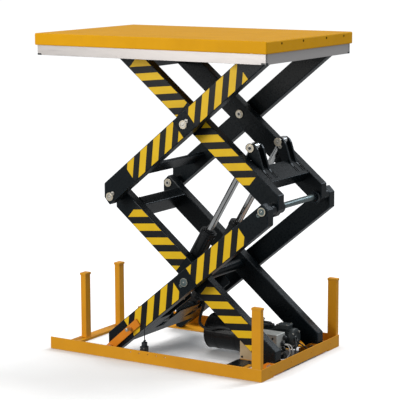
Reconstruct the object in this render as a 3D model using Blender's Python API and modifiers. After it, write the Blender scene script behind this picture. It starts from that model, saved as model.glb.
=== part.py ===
"""Double scissor lift table, posed part raised.

Metres, +Z up. The origin is on the floor at the centre of the base, with +X along
the table's length. Every moving piece hangs from an empty that stands on its joint.
"""
import math

import bmesh
import bpy

# Platform and base
PLATFORM_X, PLATFORM_Y, SKIRT = 1.300, 0.850, 0.058
BASE_X, BASE_Y, BASE_Z = 1.220, 0.785, 0.060
SHEET = 0.005
FLANGE = 0.006

# Scissor linkage
ARM = 1.140
LIFT = math.radians(41.6)
LEAN = math.radians(2.1)
DEPTH, THICK = 0.100, 0.055
INNER_Y, OUTER_Y = 0.2125, 0.3065
HINGE_X, HINGE_Z = 0.577, 0.035
PIN_TO_DECK = 0.0312
SPAN = ARM * math.cos(LIFT)
STAGE = ARM * math.sin(LIFT)
ROLLER_X = HINGE_X - SPAN
MID_X = (HINGE_X + ROLLER_X) / 2
MID_Z = HINGE_Z + STAGE
TOP_Z = HINGE_Z + 2 * STAGE
LOWER_CENTRE = (MID_X, HINGE_Z + STAGE / 2)
UPPER_CENTRE = (MID_X, HINGE_Z + 1.5 * STAGE)
DECK_Z = TOP_Z + PIN_TO_DECK
TILT = LIFT - LEAN
END_X = ARM / 2 * math.cos(LEAN)
END_V = ARM / 2 * math.sin(LEAN)

# Pins, rollers and cylinders
PIN_R, SHAFT_R = 0.0125, 0.015
RUN = 0.0004
BOTTOM_ROLLER_R, TOP_ROLLER_R, ROLLER_W = 0.0285, 0.0250, 0.034
AXLE_R = 0.010
CYLINDER_Y = 0.135
ROD_PIN = (0.419, 1.058)
FOOT = (-0.100, 0.172)
ROD_R, BORE_R, BARREL_R = 0.0165, 0.0172, 0.0375
BARREL_START, BARREL_END = 0.064, 0.535

for old in list(bpy.data.objects):
    bpy.data.objects.remove(old, do_unlink=True)
PARTS = bpy.data.collections.new("scissor_lift_table")
CUTTERS = bpy.data.collections.new("cutters")
for group in (PARTS, CUTTERS):
    bpy.context.scene.collection.children.link(group)
CUTTERS.hide_render = True


def material(name, colour, roughness, metallic):
    made = bpy.data.materials.new(name)
    made.use_nodes = True
    shader = made.node_tree.nodes["Principled BSDF"]
    shader.inputs["Base Color"].default_value = (*colour, 1)
    shader.inputs["Roughness"].default_value = roughness
    shader.inputs["Metallic"].default_value = metallic
    made.diffuse_color = (*colour, 1)
    return made


YELLOW = material("yellow_enamel", (0.78, 0.38, 0.03), 0.35, 0.0)
BLACK = material("black_enamel", (0.02, 0.023, 0.026), 0.35, 0.0)
ORANGE = material("orange_enamel", (0.80, 0.25, 0.02), 0.40, 0.0)
ZINC = material("zinc_plate", (0.62, 0.60, 0.55), 0.35, 0.9)
CHROME = material("chrome", (0.75, 0.75, 0.75), 0.12, 1.0)
ALUMINIUM = material("aluminium", (0.62, 0.62, 0.62), 0.40, 0.9)
GREY = material("grey_cast", (0.30, 0.30, 0.29), 0.50, 0.3)
RUBBER = material("black_rubber", (0.02, 0.02, 0.02), 0.70, 0.0)
NYLON = material("black_nylon", (0.03, 0.03, 0.03), 0.50, 0.0)
WHITE = material("white_cable", (0.80, 0.80, 0.78), 0.50, 0.0)


def pivot(name, x, y, z):
    empty = bpy.data.objects.new(name, None)
    empty.location = (x, y, z)
    empty.empty_display_size = 0.05
    PARTS.objects.link(empty)
    return empty


def add(name, bm, look, location=(0, 0, 0), rotation=(0, 0, 0)):
    """The bmesh as an object of its own; one with no material is a cutter or a helper."""
    mesh = bpy.data.meshes.new(name)
    bm.to_mesh(mesh)
    bm.free()
    obj = bpy.data.objects.new(name, mesh)
    obj.location = location
    obj.rotation_euler = rotation
    if look is None:
        obj.hide_render = True
        obj.display_type = "WIRE"
        CUTTERS.objects.link(obj)
    else:
        mesh.materials.append(look)
        PARTS.objects.link(obj)
    return obj


def box(name, low, high, look=None):
    bm = bmesh.new()
    bmesh.ops.create_cube(bm, size=1)
    size = [h - l for l, h in zip(low, high)]
    bmesh.ops.scale(bm, vec=size, verts=bm.verts)
    middle = [(l + h) / 2 for l, h in zip(low, high)]
    return add(name, bm, look, middle)


def rod(name, centre, radius, length, look=None, turn=(0, 0, 0), sides=24):
    """A round bar along Z, turned by the Euler angles."""
    bm = bmesh.new()
    bmesh.ops.create_cone(
        bm, cap_ends=True, segments=sides, radius1=radius, radius2=radius, depth=length
    )
    obj = add(name, bm, look, centre, turn)
    if look is not None:
        obj.data.shade_smooth()
        obj.data.set_sharp_from_angle(angle=math.radians(35))
    return obj


def pin(name, x, z, y_low, y_high, radius, look=None, sides=24):
    """A round bar along Y."""
    turn = (math.pi / 2, 0, 0)
    return rod(name, (x, (y_low + y_high) / 2, z), radius, y_high - y_low, look, turn, sides)


def plate(name, outline, y_low, y_high, look=None, at=(0, 0), tilt=0.0):
    """A flat outline in X and Z, through the given Y range, turned about Y at a point."""
    curve = bpy.data.curves.new(name, "CURVE")
    curve.dimensions = "2D"
    curve.fill_mode = "BOTH"
    curve.extrude = (y_high - y_low) / 2
    spline = curve.splines.new("POLY")
    spline.points.add(len(outline) - 1)
    for point, (x, z) in zip(spline.points, outline):
        point.co = (x, z, 0, 1)
    spline.use_cyclic_u = True
    guide = bpy.data.objects.new(name + "_outline", curve)
    PARTS.objects.link(guide)
    graph = bpy.context.evaluated_depsgraph_get()
    mesh = bpy.data.meshes.new_from_object(guide.evaluated_get(graph))
    bpy.data.objects.remove(guide, do_unlink=True)
    bm = bmesh.new()
    bm.from_mesh(mesh)
    bmesh.ops.remove_doubles(bm, verts=bm.verts, dist=1e-6)
    bmesh.ops.recalc_face_normals(bm, faces=bm.faces)
    place = (at[0], (y_low + y_high) / 2, at[1])
    return add(name, bm, look, place, (math.pi / 2, tilt, 0))


def cut(target, *tools, operation="DIFFERENCE"):
    for tool in tools:
        step = target.modifiers.new(tool.name, "BOOLEAN")
        step.operation = operation
        step.solver = "EXACT"
        step.object = tool
    return target


def fuse(target, *tools):
    return cut(target, *tools, operation="UNION")


def soften(target, width, segments=2):
    bevel = target.modifiers.new("edge", "BEVEL")
    bevel.width = width
    bevel.segments = segments
    bevel.limit_method = "ANGLE"
    bevel.angle_limit = math.radians(50)
    return target


def carry(empty, *objects):
    for obj in objects:
        obj.parent = empty
        obj.location = obj.location - empty.location


def clip(outline, centre, normal_deg, distance):
    """What is left of an outline on the near side of a line beside a point."""
    nx, nz = math.cos(math.radians(normal_deg)), math.sin(math.radians(normal_deg))
    limit = centre[0] * nx + centre[1] * nz + distance
    kept = []
    for (ax, az), (bx, bz) in zip(outline, outline[1:] + outline[:1]):
        a, b = ax * nx + az * nz - limit, bx * nx + bz * nz - limit
        if a <= 0:
            kept.append((ax, az))
        if a * b < 0:
            t = a / (a - b)
            kept.append((ax + t * (bx - ax), az + t * (bz - az)))
    return kept


def arm_outline(low_cuts, high_cuts, flip):
    """A bar with its low end to the left; flip makes the arm that falls to the right."""
    half = DEPTH / 2
    outline = [(-0.70, -half), (0.70, -half), (0.70, half), (-0.70, half)]
    for angle, distance in low_cuts:
        outline = clip(outline, (-END_X, -END_V), angle, distance)
    for angle, distance in high_cuts:
        outline = clip(outline, (END_X, END_V), angle, distance)
    if flip:
        outline = [(-x, z) for x, z in reversed(outline)]
    return outline


TILT_DEG = math.degrees(TILT)
GROUND_END = [(-95, 0.0262), (-115, 0.0262), (-135, 0.0262), (180 - TILT_DEG, 0.020)]
HINGE_END = [(-95, 0.0255), (-120, 0.0255), (-145, 0.0255), (-170, 0.0255), (165, 0.0255)]
HINGE_END += [(180 - TILT_DEG, 0.022)]
JOINT_LOW = [(180 - TILT_DEG, 0.0345), (220 - TILT_DEG, 0.0296)]
JOINT_HIGH = [(-TILT_DEG, 0.030), (45 - TILT_DEG, 0.0275)]
DECK_END = [(85, 0.0240), (65, 0.0240), (45, 0.0240), (-TILT_DEG, 0.022)]


def point_on(at, rises, s, v):
    """World X and Z of a place s along an arm from its centre and v above its middle."""
    a = TILT if rises else -TILT
    x = at[0] + s * math.cos(a) - v * math.sin(a)
    return x, at[1] + s * math.sin(a) + v * math.cos(a)


def arm(name, side, at, rises, low_cuts, high_cuts, bores):
    """One box arm with its pin bores; side is -1 for the near one and 1 for the far one."""
    y = OUTER_Y if rises else INNER_Y
    low, high = side * y - THICK / 2, side * y + THICK / 2
    outline = arm_outline(low_cuts, high_cuts, not rises)
    made = plate(name, outline, low, high, BLACK, at, -TILT if rises else TILT)
    soften(made, 0.004)
    for i, (x, z, radius) in enumerate(bores):
        cut(made, pin(f"{name}_bore{i}", x, z, low - 0.02, high + 0.02, radius + RUN))
    return made


def fork(made, side, y, x, z, roller_r):
    """Opens an arm's end for a roller, and puts the axle across the opening."""
    name = made.name
    low, high = side * y - 0.0185, side * y + 0.0185
    slot = pin(name + "_slot", x, z, low, high, roller_r + 0.005, sides=28)
    cut(made, slot)
    axle = pin(name + "_axle", x, z, side * y - 0.026, side * y + 0.026, AXLE_R, sides=16)
    fuse(made, axle)


def roller(name, side, y, x, z, radius):
    low, high = side * y - ROLLER_W / 2, side * y + ROLLER_W / 2
    made = pin(name, x, z, low, high, radius, NYLON, 28)
    soften(made, 0.002, 1)
    cut(made, pin(name + "_bore", x, z, low - 0.01, high + 0.01, AXLE_R + RUN, sides=20))
    carry(pivot(name + "_pivot", x, side * y, z), made)


def round_pin(name, x, z, y_low, y_high, radius, collar, look=ZINC):
    """A pin with a round collar between two Y values beside an arm or a lug."""
    made = pin(name, x, z, y_low, y_high, radius, look)
    boss = pin(name + "_collar", x, z, collar[0], collar[1], radius + 0.0085)
    return fuse(made, boss)


def flagged_pin(name, x, z, y_low, y_high, radius, flag_y, flag_turn, look=ZINC):
    """A pin with the teardrop keeper that is screwed down beside it on an arm's face."""
    made = pin(name, x, z, y_low, y_high, radius, look)
    lobe_x = x + 0.025 * math.cos(flag_turn)
    lobe_z = z + 0.025 * math.sin(flag_turn)
    flag = pin(name + "_flag", x, z, flag_y[0], flag_y[1], 0.021)
    lobe = pin(name + "_lobe", lobe_x, lobe_z, flag_y[0], flag_y[1], 0.010, sides=16)
    neck = box(name + "_neck", (-0.0125, flag_y[0], -0.009), (0.0125, flag_y[1], 0.009))
    neck.location = ((x + lobe_x) / 2, (flag_y[0] + flag_y[1]) / 2, (z + lobe_z) / 2)
    neck.rotation_euler = (0, -flag_turn, 0)
    screw = pin(name + "_screw", lobe_x, lobe_z, flag_y[0] - 0.004, flag_y[1], 0.006, sides=6)
    return fuse(made, flag, lobe, neck, screw)


SIDES = (("near", -1), ("far", 1))
PIN_NEAR, PIN_FAR = (-0.3410, -0.1750), (0.1750, 0.3410)
FLAG_NEAR, FLAG_FAR = (-0.3395, -0.3345), (0.1795, 0.1845)
UP_RIGHT, DOWN_LEFT = math.radians(45), math.radians(225)

# Base frame
rail_half_y = BASE_Y / 2
for word, side in SIDES:
    profile = [(0, 0), (0.1155, 0), (0.1155, BASE_Z), (0.1095, BASE_Z), (0.1095, FLANGE), (0, FLANGE)]
    rail = plate(f"base_rail_{word}", profile, -BASE_X / 2, BASE_X / 2, YELLOW)
    rail.rotation_euler = (math.pi / 2, 0, side * math.pi / 2)
    rail.location = (0, side * 0.277, 0)
    if side < 0:
        for i in range(5):
            hole = pin(f"rail_hole{i}", -0.125 + 0.05 * i, 0.046, -0.40, -0.38, 0.003, sides=12)
            cut(rail, hole)
end_x = BASE_X / 2
box("base_end_beam", (end_x - 0.004, -0.3862, FLANGE + 0.0003), (end_x, 0.3862, BASE_Z), YELLOW)
box("base_left_bar", (-0.600, -0.2767, 0), (-0.540, 0.2767, 0.012), YELLOW)
box("base_power_bar", (0.320, -0.2767, 0), (0.430, 0.2767, 0.008), YELLOW)

POST_TOP = 0.340
for word, side in SIDES:
    y0, y1 = sorted((side * 0.130, side * 0.172))
    post = box(f"post_left_{word}", (-0.580, y0, 0.0123), (-0.550, y1, POST_TOP + 0.002), YELLOW)
    cap = box(post.name + "_cap", (-0.5835, y0 - 0.0035, POST_TOP), (-0.5465, y1 + 0.0035, 0.3505))
    fuse(post, cap)
    y0, y1 = sorted((side * 0.367, side * 0.3925))
    post = box(f"post_right_{word}", (0.557, y0, BASE_Z + 0.0003), (0.6055, y1, POST_TOP + 0.002), YELLOW)
    f0, f1 = sorted((side * 0.367, side * 0.3860))
    leg = box(post.name + "_leg", (0.557, f0, FLANGE + 0.0003), (0.6055, f1, 0.080))
    cap = box(post.name + "_cap", (0.5545, y0 - 0.002, POST_TOP), (0.608, y1 + 0.002, 0.3505))
    fuse(post, leg, cap)

clevis_outline = [(0.500, 0), (0.6037, 0), (0.6037, 0.052), (0.600, 0.056),
                  (0.560, 0.056), (0.528, 0.038), (0.500, 0.024)]
for word, side in SIDES:
    y0, y1 = sorted((side * 0.170, side * 0.255))
    clevis = box(f"hinge_clevis_{word}", (0.505, y0, 0), (0.6035, y1, 0.004), ORANGE)
    low_ear = plate(clevis.name + "_ear_a", clevis_outline, y0, y0 + 0.010)
    high_ear = plate(clevis.name + "_ear_b", clevis_outline, y1 - 0.010, y1)
    fuse(clevis, low_ear, high_ear)
    bore = pin(clevis.name + "_bore", HINGE_X, HINGE_Z, y0 - 0.02, y1 + 0.02, PIN_R + RUN)
    cut(clevis, bore)
    hinge_pin = pin(f"hinge_pin_{word}", HINGE_X, HINGE_Z, y0 - 0.006, y1 + 0.004, PIN_R, ZINC)
    fuse(hinge_pin, pin(hinge_pin.name + "_head", HINGE_X, HINGE_Z, y0 - 0.006, y0 - 0.0005, 0.016))

# Power unit and limit switch
QUARTER = (0, math.pi / 2, 0)
tank = rod("oil_tank", (0.210, 0, 0.103), 0.085, 0.220, BLACK, QUARTER, 40)
soften(tank, 0.008, 3)
block = box("valve_block", (0.3204, -0.054, 0.0083), (0.500, 0.030, 0.137), ALUMINIUM)
soften(block, 0.004)
for i, (y, z) in enumerate(((0.015, 0.112), (-0.005, 0.086), (0.003, 0.058), (-0.032, 0.058))):
    fuse(block, rod(f"gland{i}", (0.506, y, z), 0.009, 0.020, turn=QUARTER, sides=12))
motor = rod("pump_motor", (0.4375, 0.083, 0.095), 0.052, 0.185, GREY, QUARTER, 40)
soften(motor, 0.005)
fuse(motor, box("motor_foot", (0.37, 0.065, 0.0083), (0.43, 0.101, 0.050)))
fuse(motor, box("terminal_box", (0.440, 0.050, 0.130), (0.500, 0.105, 0.160)))
breather = rod("tank_breather", (0.370, -0.012, 0.1435), 0.013, 0.012, NYLON, sides=16)
switch = box("limit_switch", (-0.078, -0.381, 0.0063), (-0.046, -0.349, 0.081), NYLON)
fuse(switch, box("switch_head", (-0.072, -0.376, 0.080), (-0.050, -0.353, 0.100)))
whisker = rod("switch_whisker", (-0.060, -0.3645, 0.146), 0.0025, 0.084, CHROME, sides=10)
fuse(whisker, pin("whisker_hub", -0.060, 0.1045, -0.372, -0.357, 0.0038, sides=12))
carry(pivot("switch_whisker_pivot", -0.060, -0.3645, 0.1045), whisker)


def tube(name, points, radius, look):
    """A hose or a cable: a smooth path given a round section and closed ends."""
    curve = bpy.data.curves.new(name, "CURVE")
    curve.dimensions = "3D"
    curve.bevel_depth = radius
    curve.bevel_resolution = 2
    curve.use_fill_caps = True
    spline = curve.splines.new("POLY")
    steps = 6
    path = []
    closed = [points[0], *points, points[-1]]
    for a, b, c, d in zip(closed, closed[1:], closed[2:], closed[3:]):
        for step in range(steps):
            t = step / steps
            weights = (
                (-t + 2 * t * t - t**3) / 2,
                (2 - 5 * t * t + 3 * t**3) / 2,
                (t + 4 * t * t - 3 * t**3) / 2,
                (-t * t + t**3) / 2,
            )
            path.append([sum(w * p[k] for w, p in zip(weights, (a, b, c, d))) for k in range(3)])
    path.append(points[-1])
    spline.points.add(len(path) - 1)
    for point, place in zip(spline.points, path):
        point.co = (*place, 1)
    obj = bpy.data.objects.new(name, curve)
    curve.materials.append(look)
    PARTS.objects.link(obj)
    return obj


HOSE_PATH = [(0.350, -0.0615, 0.115), (0.348, -0.085, 0.120), (0.325, -0.104, 0.138), (0.270, -0.108, 0.150)]
HOSE_PATH += [(0.212, -0.105, 0.152), (0.145, -0.100, 0.134), (0.100, -0.098, 0.146)]
HOSE_PATH += [(0.088, -0.095, 0.175), (0.105, -0.090, 0.240), (0.125, -0.080, 0.330), (0.128, -0.070, 0.390)]
tube("hydraulic_hose", HOSE_PATH, 0.007, RUBBER)
LEAD_PATH = [(0.5170, -0.005, 0.086), (0.545, 0.000, 0.082), (0.562, -0.002, 0.055),
             (0.560, -0.010, 0.030), (0.548, -0.045, 0.016), (0.538, -0.085, 0.030),
             (0.532, -0.105, 0.060)]
tube("control_leads", LEAD_PATH, 0.003, WHITE)

# Lower scissor, inner pair: hinged on the base
lift = pivot("lift_pivot", HINGE_X, 0, HINGE_Z)
for word, side in SIDES:
    bores = [(HINGE_X, HINGE_Z, PIN_R), (ROLLER_X, MID_Z, PIN_R), (*LOWER_CENTRE, 0.0175)]
    made = arm(f"arm_lower_inner_{word}", side, LOWER_CENTRE, False, HINGE_END, JOINT_HIGH, bores)
    carry(lift, made)
mid_pin_far = round_pin("pin_mid_left_far", ROLLER_X, MID_Z, *PIN_FAR, PIN_R, FLAG_FAR)
bar = box("crossmember_lower_inner", (-0.027, -0.1847, -0.050), (0.027, 0.1847, 0.050), BLACK)
x, z = point_on(LOWER_CENTRE, False, -END_X + 0.089, 0)
bar.location, bar.rotation_euler = (x, 0, z), (0, TILT, 0)
soften(bar, 0.004)
carry(lift, bar, mid_pin_far)

# Lower scissor, outer pair: on the lower centre shaft
lower_outer = pivot("lower_outer_pivot", LOWER_CENTRE[0], 0, LOWER_CENTRE[1])
for word, side in SIDES:
    bores = [(*LOWER_CENTRE, 0.0175), (HINGE_X, MID_Z, SHAFT_R)]
    made = arm(f"arm_lower_outer_{word}", side, LOWER_CENTRE, True, GROUND_END, JOINT_HIGH, bores)
    fork(made, side, OUTER_Y, ROLLER_X, HINGE_Z, BOTTOM_ROLLER_R)
    carry(lower_outer, made)
foot = box("cylinder_foot_frame", (-0.470, -0.2787, -0.0500), (-0.400, 0.2787, -0.0420), BLACK)
foot.data.transform(foot.matrix_basis)
foot.location = (LOWER_CENTRE[0], 0, LOWER_CENTRE[1])
foot.rotation_euler = (0, -TILT, 0)
for i, (y0, y1) in enumerate(((-0.2787, -0.176), (-0.094, 0.094), (0.176, 0.2787))):
    tongue = box(f"foot_tongue{i}", (-0.410, y0, -0.0500), (-0.270, y1, -0.0420))
    tongue.data.transform(tongue.matrix_basis)
    tongue.location, tongue.rotation_euler = foot.location, foot.rotation_euler
    fuse(foot, tongue)
foot_ear = [(-0.440, -0.048), (-0.395, -0.048), (-0.318, -0.052), (-0.308, -0.035), (-0.312, -0.014)]
foot_ear += [(-0.330, -0.003), (-0.350, -0.006), (-0.410, -0.024), (-0.440, -0.036)]
for i, y in enumerate((-0.1745, -0.1075, 0.0955, 0.1625)):
    ear = plate(f"foot_ear{i}", foot_ear, y, y + 0.012, None, LOWER_CENTRE, -TILT)
    fuse(foot, ear)
for i, (y0, y1) in enumerate(((-0.1795, -0.0910), (0.0910, 0.1795))):
    fuse(foot, pin(f"foot_pin{i}", *FOOT, y0, y1, PIN_R))
shaft = flagged_pin("shaft_lower_centre", *LOWER_CENTRE, -0.3410, 0.3410, 0.0175, FLAG_NEAR, DOWN_LEFT)
carry(lower_outer, foot, shaft)
shaft = flagged_pin("shaft_mid_right", HINGE_X, MID_Z, -0.3410, 0.3410, SHAFT_R, FLAG_NEAR, DOWN_LEFT)
carry(lower_outer, shaft)
for word, side in SIDES:
    roller(f"roller_bottom_{word}", side, OUTER_Y, ROLLER_X, HINGE_Z, BOTTOM_ROLLER_R)

PROP = math.radians(41)
prop_outline = [(-0.018, -0.019), (0.216, -0.019), (0.216, 0.019), (-0.018, 0.019)]
prop = plate("service_prop", prop_outline, -0.3450, -0.3350, ORANGE, (ROLLER_X, HINGE_Z + 0.010), -PROP)
prop_x = ROLLER_X + 0.160 * math.cos(PROP)
prop_z = HINGE_Z + 0.010 + 0.160 * math.sin(PROP)
fuse(prop, pin("prop_handle", prop_x, prop_z, -0.383, -0.338, 0.007, sides=12))
fuse(prop, pin("prop_boss", ROLLER_X, HINGE_Z + 0.010, -0.352, -0.338, 0.014, sides=16))
carry(pivot("service_prop_pivot", ROLLER_X, -0.340, HINGE_Z + 0.010), prop)

# Upper scissor, inner pair: on the middle right shaft
upper_inner = pivot("upper_inner_pivot", HINGE_X, 0, MID_Z)
for word, side in SIDES:
    bores = [(HINGE_X, MID_Z, SHAFT_R), (*UPPER_CENTRE, PIN_R)]
    made = arm(f"arm_upper_inner_{word}", side, UPPER_CENTRE, False, JOINT_LOW, DECK_END, bores)
    fork(made, side, INNER_Y, ROLLER_X, TOP_Z, TOP_ROLLER_R)
    carry(upper_inner, made)
centre_far = round_pin("pin_upper_centre_far", *UPPER_CENTRE, *PIN_FAR, PIN_R, FLAG_FAR)
bar = box("crossmember_upper_inner", (-0.027, -0.1847, -0.045), (0.027, 0.1847, 0.025), BLACK)
x, z = point_on(UPPER_CENTRE, False, -END_X + 0.125, 0)
bar.location, bar.rotation_euler = (x, 0, z), (0, TILT, 0)
lugs = box("rod_lug_frame", (-0.050, -0.1847, -0.0305), (0.050, 0.1847, 0.0305), BLACK)
x, z = point_on(UPPER_CENTRE, False, END_X - 0.150, 0.0155)
lugs.location, lugs.rotation_euler = (x, 0, z), (0, TILT, 0)
lug_outline = [(0.260, 0.062), (0.285, 0.058), (0.425, -0.014), (0.425, 0.044), (0.395, 0.050)]
lug_outline += [(0.310, 0.104), (0.292, 0.110), (0.270, 0.106), (0.254, 0.090), (0.252, 0.074)]
for i, y in enumerate((-0.1695, -0.1145, 0.1005, 0.1555)):
    fuse(lugs, plate(f"rod_lug{i}", lug_outline, y, y + 0.014, None, UPPER_CENTRE, TILT))
for word, side in SIDES:
    low, high = sorted((side * 0.093, side * 0.177))
    held = low + 0.021
    if side < 0:
        rod_pin = round_pin(f"rod_pin_{word}", *ROD_PIN, low, held, PIN_R, (low + 0.002, low + 0.005))
    else:
        tail = math.radians(-60)
        rod_pin = flagged_pin(f"rod_pin_{word}", *ROD_PIN, low, held, PIN_R, (low, low + 0.005), tail)
    bore = pin(f"rod_lug_bore_{word}", *ROD_PIN, low, held + 0.005, PIN_R + RUN)
    cut(lugs, bore)
    carry(upper_inner, rod_pin)
carry(upper_inner, bar, centre_far, lugs)
for word, side in SIDES:
    roller(f"roller_top_{word}", side, INNER_Y, ROLLER_X, TOP_Z, TOP_ROLLER_R)

# Upper scissor, outer pair: on the upper centre pins
upper_outer = pivot("upper_outer_pivot", UPPER_CENTRE[0], 0, UPPER_CENTRE[1])
for word, side in SIDES:
    bores = [(*UPPER_CENTRE, PIN_R), (ROLLER_X, MID_Z, PIN_R), (HINGE_X, TOP_Z, PIN_R)]
    made = arm(f"arm_upper_outer_{word}", side, UPPER_CENTRE, True, JOINT_LOW, DECK_END, bores)
    carry(upper_outer, made)
bar = box("crossmember_upper_outer", (-0.043, -0.2787, -0.007), (0.043, 0.2787, 0.007), BLACK)
x, z = point_on(UPPER_CENTRE, True, -END_X + 0.175, 0)
bar.location, bar.rotation_euler = (x, 0, z), (0, -TILT, 0)
centre_near = flagged_pin("pin_upper_centre_near", *UPPER_CENTRE, *PIN_NEAR, PIN_R, FLAG_NEAR, UP_RIGHT)
mid_pin_near = flagged_pin("pin_mid_left_near", ROLLER_X, MID_Z, *PIN_NEAR, PIN_R, FLAG_NEAR, UP_RIGHT)
carry(upper_outer, bar, centre_near, mid_pin_near)

# Lift cylinders: each barrel turns on its foot pin, and its rod slides along it.
# The rod's eye keeps clear of its lugs, because the linkage is open at that pin.
dx, dz = ROD_PIN[0] - FOOT[0], ROD_PIN[1] - FOOT[1]
CYLINDER = math.hypot(dx, dz)
SLOPE = math.atan2(dz, dx)
ALONG = (0, math.pi / 2 - SLOPE, 0)


def along(s):
    return FOOT[0] + s * math.cos(SLOPE), FOOT[1] + s * math.sin(SLOPE)


for word, side in SIDES:
    y = side * CYLINDER_Y
    x, z = along((BARREL_START + BARREL_END) / 2)
    barrel = rod(f"cylinder_barrel_{word}", (x, y, z), BARREL_R, BARREL_END - BARREL_START, BLACK, ALONG, 32)
    neck_x, neck_z = along(BARREL_START / 2)
    neck = box(barrel.name + "_neck", (-0.0195, -0.0195, -0.036), (0.0195, 0.0195, 0.036))
    neck.location, neck.rotation_euler = (neck_x, y, neck_z), ALONG
    eye = pin(barrel.name + "_eye", *FOOT, y - 0.0195, y + 0.0195, 0.024)
    bore_x, bore_z = along(BARREL_END - 0.200)
    bore = rod(barrel.name + "_bore", (bore_x, y, bore_z), BORE_R, 0.420, None, ALONG, 28)
    hole = pin(barrel.name + "_hole", *FOOT, y - 0.04, y + 0.04, PIN_R + RUN)
    fuse(barrel, neck, eye)
    cut(barrel, bore, hole)
    carry(pivot(f"barrel_pivot_{word}", FOOT[0], y, FOOT[1]), barrel)

    tip, root = 0.480, CYLINDER - 0.005
    x, z = along((tip + root) / 2)
    piston_rod = rod(f"cylinder_rod_{word}", (x, y, z), ROD_R, root - tip, CHROME, ALONG, 24)
    head = pin(piston_rod.name + "_eye", *ROD_PIN, y - 0.0195, y + 0.0195, 0.024)
    fuse(piston_rod, head)
    carry(pivot(f"rod_pivot_{word}", ROD_PIN[0], y, ROD_PIN[1]), piston_rod)

# Platform
top = pivot("platform_pivot", HINGE_X, 0, TOP_Z)
hx, hy = PLATFORM_X / 2, PLATFORM_Y / 2
deck = box("platform", (-hx, -hy, DECK_Z - SKIRT), (hx, hy, DECK_Z), YELLOW)
soften(deck, 0.006, 3)
hollow = box("platform_hollow", (-hx + 0.004, -hy + 0.004, DECK_Z - 0.2),
             (hx - 0.004, hy - 0.004, DECK_Z - SHEET))
cut(deck, hollow)
carry(top, deck)
under = DECK_Z - SHEET - 0.0003
ear_outline = [(0.552, 1.527), (0.602, 1.527), (0.612, 1.540), (0.612, under), (0.545, under), (0.545, 1.540)]
for word, side in SIDES:
    y0, y1 = sorted((side * 0.243, side * 0.249))
    track = box(f"platform_track_{word}", (-0.620, y0, 1.530), (0.620, y1, under), YELLOW)
    for i, y in enumerate((0.2650, 0.3380)):
        e0, e1 = sorted((side * y, side * (y + 0.010)))
        fuse(track, plate(f"{track.name}_ear{i}", ear_outline, e0, e1))
    g0, g1 = sorted((side * 0.2445, side * 0.3470))
    fuse(track, box(track.name + "_gusset", (0.606, g0, 1.535), (0.618, g1, under - 0.0002)))
    cut(track, pin(track.name + "_bore", HINGE_X, TOP_Z, *sorted((side * 0.255, side * 0.36)), PIN_R + RUN))
    low, high = sorted((side * 0.262, side * 0.352))
    top_pin = pin(f"pin_top_{word}", HINGE_X, TOP_Z, low, high, PIN_R, ZINC)
    carry(top, track, top_pin)

trip = pivot("trip_frame_pivot", 0, 0, 1.474)
TRIP_LOW, TRIP_HIGH = DECK_Z - 0.106, DECK_Z - 0.036
for word, side in SIDES:
    y0, y1 = sorted((side * 0.402, side * 0.415))
    x0, x1 = sorted((side * 0.627, side * 0.640))
    long_bar = box(f"trip_bar_{word}", (-0.640, y0, TRIP_LOW), (0.640, y1, TRIP_HIGH), ALUMINIUM)
    end_word = "left" if side < 0 else "right"
    end_bar = box(f"trip_bar_{end_word}", (x0, -0.4017, TRIP_LOW), (x1, 0.4017, TRIP_HIGH), ALUMINIUM)
    carry(trip, long_bar, end_bar)
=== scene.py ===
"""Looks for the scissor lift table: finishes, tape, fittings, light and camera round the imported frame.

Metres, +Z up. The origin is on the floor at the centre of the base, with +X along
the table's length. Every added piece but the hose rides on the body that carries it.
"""
import math

import bmesh
import bpy
from mathutils import Matrix, Vector


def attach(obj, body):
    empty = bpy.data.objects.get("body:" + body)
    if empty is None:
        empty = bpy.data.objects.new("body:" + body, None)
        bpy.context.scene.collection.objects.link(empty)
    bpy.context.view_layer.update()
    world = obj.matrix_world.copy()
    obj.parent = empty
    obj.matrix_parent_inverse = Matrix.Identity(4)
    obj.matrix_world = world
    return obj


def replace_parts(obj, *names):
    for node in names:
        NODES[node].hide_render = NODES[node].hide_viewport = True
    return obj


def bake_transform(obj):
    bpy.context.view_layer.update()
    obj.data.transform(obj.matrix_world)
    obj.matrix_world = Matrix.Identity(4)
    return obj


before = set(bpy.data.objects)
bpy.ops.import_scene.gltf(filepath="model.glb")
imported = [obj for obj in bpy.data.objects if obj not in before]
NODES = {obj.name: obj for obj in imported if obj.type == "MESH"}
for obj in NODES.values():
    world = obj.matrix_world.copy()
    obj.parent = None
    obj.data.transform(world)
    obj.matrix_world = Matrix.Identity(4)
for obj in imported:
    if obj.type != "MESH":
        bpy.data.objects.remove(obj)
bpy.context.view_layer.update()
SIDES = (("near", -1), ("far", 1))

# Places that the frame fixes
LIFT, LEAN = math.radians(41.6), math.radians(2.1)
TILT = LIFT - LEAN
ARM = 1.140
HINGE_X, HINGE_Z = 0.577, 0.035
STAGE = ARM * math.sin(LIFT)
ROLLER_X = HINGE_X - ARM * math.cos(LIFT)
MID_X = (HINGE_X + ROLLER_X) / 2
MID_Z = HINGE_Z + STAGE
TOP_Z = HINGE_Z + 2 * STAGE
LOWER_CENTRE = (MID_X, HINGE_Z + STAGE / 2)
UPPER_CENTRE = (MID_X, HINGE_Z + 1.5 * STAGE)
DECK_Z = TOP_Z + 0.0312
INNER_FACE, OUTER_FACE = 0.240, 0.334
ROD_PIN, FOOT = (0.419, 1.058), (-0.100, 0.172)
CYLINDER_Y = 0.135
CYLINDER = math.hypot(ROD_PIN[0] - FOOT[0], ROD_PIN[1] - FOOT[1])
SLOPE = math.atan2(ROD_PIN[1] - FOOT[1], ROD_PIN[0] - FOOT[0])


# Materials ---------------------------------------------------------------------

def new_material(name):
    made = bpy.data.materials.new(name)
    made.use_nodes = True
    return made, made.node_tree, made.node_tree.nodes["Principled BSDF"]


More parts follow.
